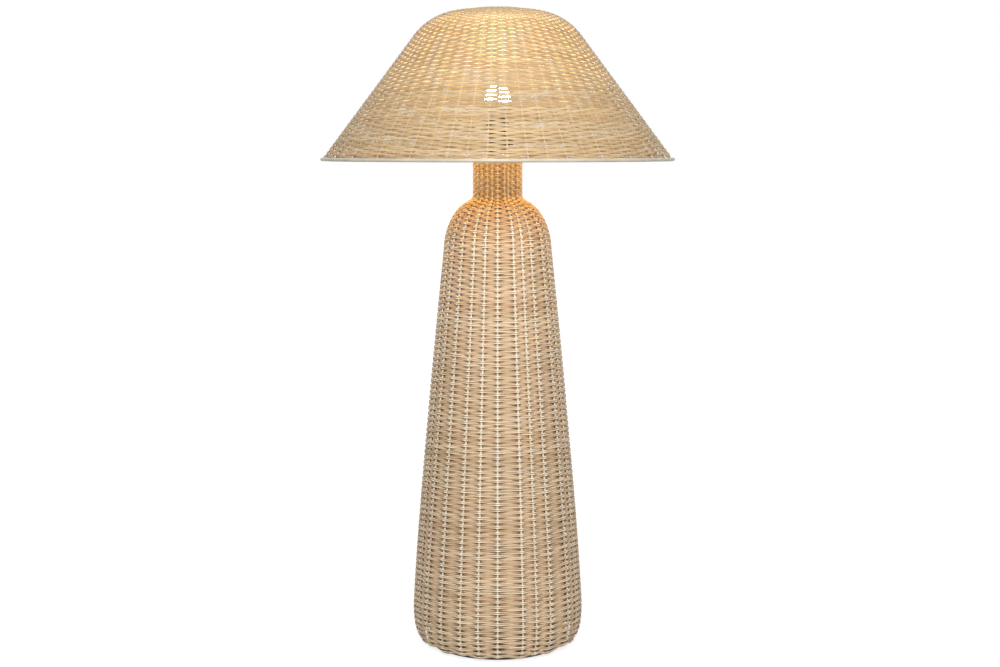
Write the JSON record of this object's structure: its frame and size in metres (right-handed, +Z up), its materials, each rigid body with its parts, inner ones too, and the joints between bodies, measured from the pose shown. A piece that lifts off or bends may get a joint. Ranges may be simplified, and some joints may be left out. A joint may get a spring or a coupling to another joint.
{
  "type": "rattan floor lamp",
  "caption": "Floor lamp with a tall bottle-shaped woven rattan body on a hidden base plate, under a wide woven rattan cone shade with a wire rim.",
  "frame": {"origin": "on the floor, at the centre of the lamp's box, under its axis", "axes": "+Z up along the lamp's axis; -Y is the front that the picture shows; +X is the switch side"},
  "size_m": [0.823, 0.823, 1.5006],
  "materials": {
    "rattan_body": "woven round rattan core under a thin satin lacquer",
    "rattan_shade": "woven round rattan core under a thin satin lacquer",
    "stake_paint": "cream satin paint on steel wire",
    "spoke_paint": "off-white satin paint on steel wire",
    "rim_paint": "off-white satin paint on steel wire",
    "plate_paint": "black powder coat",
    "cap_paint": "black powder coat",
    "zinc_steel": "zinc plated steel",
    "tube_steel": "drawn steel tube",
    "pad_rubber": "matt black rubber",
    "lead_sheath": "matt black flexible sheath",
    "contact_brass": "plain brass",
    "porcelain": "glazed white porcelain",
    "holder_plastic": "moulded black thermoset",
    "bulb_white": "moulded white plastic",
    "bulb_steel": "nickel plated cap",
    "board_white": "white printed board on aluminium",
    "bulb_glow": "frosted dome, lit from inside",
    "crown_wood": "plywood disc under wound rattan"
  },
  "bodies": {
    "stand": {"foot_pad_1": "pad_rubber", "foot_pad_2": "pad_rubber", "foot_pad_3": "pad_rubber", "foot_pad_4": "pad_rubber", "base_plate": "plate_paint", "hoop_clip_1": "zinc_steel", "hoop_clip_2": "zinc_steel", "hoop_clip_3": "zinc_steel", "clip_screw_1": "zinc_steel", "clip_screw_2": "zinc_steel", "clip_screw_3": "zinc_steel", "base_flange": "plate_paint", "flange_screw_1": "zinc_steel", "flange_screw_2": "zinc_steel", "flange_screw_3": "zinc_steel", "set_screw": "zinc_steel", "body_frame": "stake_paint", "body_weave": "rattan_body", "stand_tube": "tube_steel", "tube_bush": "pad_rubber", "cord_grommet": "pad_rubber", "inner_lead": "lead_sheath", "neck_cap": "cap_paint", "top_bush": "zinc_steel", "lamp_nipple": "zinc_steel", "tooth_washer": "zinc_steel", "locknut": "contact_brass", "lampholder_cap": "holder_plastic", "lampholder_body": "holder_plastic", "switch_block": "porcelain", "socket_base": "porcelain", "centre_contact": "contact_brass", "socket_shell": "contact_brass", "shade_ring": "holder_plastic"},
    "shade": {"fitter_ring": "spoke_paint", "fitter_arm_1": "spoke_paint", "fitter_arm_2": "spoke_paint", "fitter_arm_3": "spoke_paint", "fitter_hoop": "spoke_paint", "shade_frame": "spoke_paint", "rim_ring": "rim_paint", "shade_weave": "rattan_shade", "crown_disc": "crown_wood"},
    "bulb_lift": {"bulb_tip": "contact_brass"},
    "bulb": {"bulb_cap": "bulb_steel", "bulb_housing": "bulb_white", "led_board": "board_white", "bulb_dome": "bulb_glow"},
    "switch": {"switch_knob": "holder_plastic"}
  },
  "joints": [
    {"name": "shade_turn", "type": "hinge", "parent": "stand", "child": "shade", "pos_m": [0, 0, 1.2293], "axis": [0, 0, 1], "continuous": true},
    {"name": "bulb_rise", "type": "slide", "parent": "stand", "child": "bulb_lift", "axis": [0, 0, 1], "range_m": [0, 0.0188]},
    {"name": "bulb_turn", "type": "hinge", "parent": "bulb_lift", "child": "bulb", "pos_m": [0, 0, 1.2354], "axis": [0, 0, 1], "range_deg": [0, 1872]},
    {"name": "switch_turn", "type": "hinge", "parent": "stand", "child": "switch", "pos_m": [0.0243, 0, 1.1955], "axis": [1, 0, 0], "continuous": true}
  ],
  "couplings": [
    {"joint": "bulb_turn", "follows": "bulb_rise", "rad_per_m": 1731.6}
  ]
}
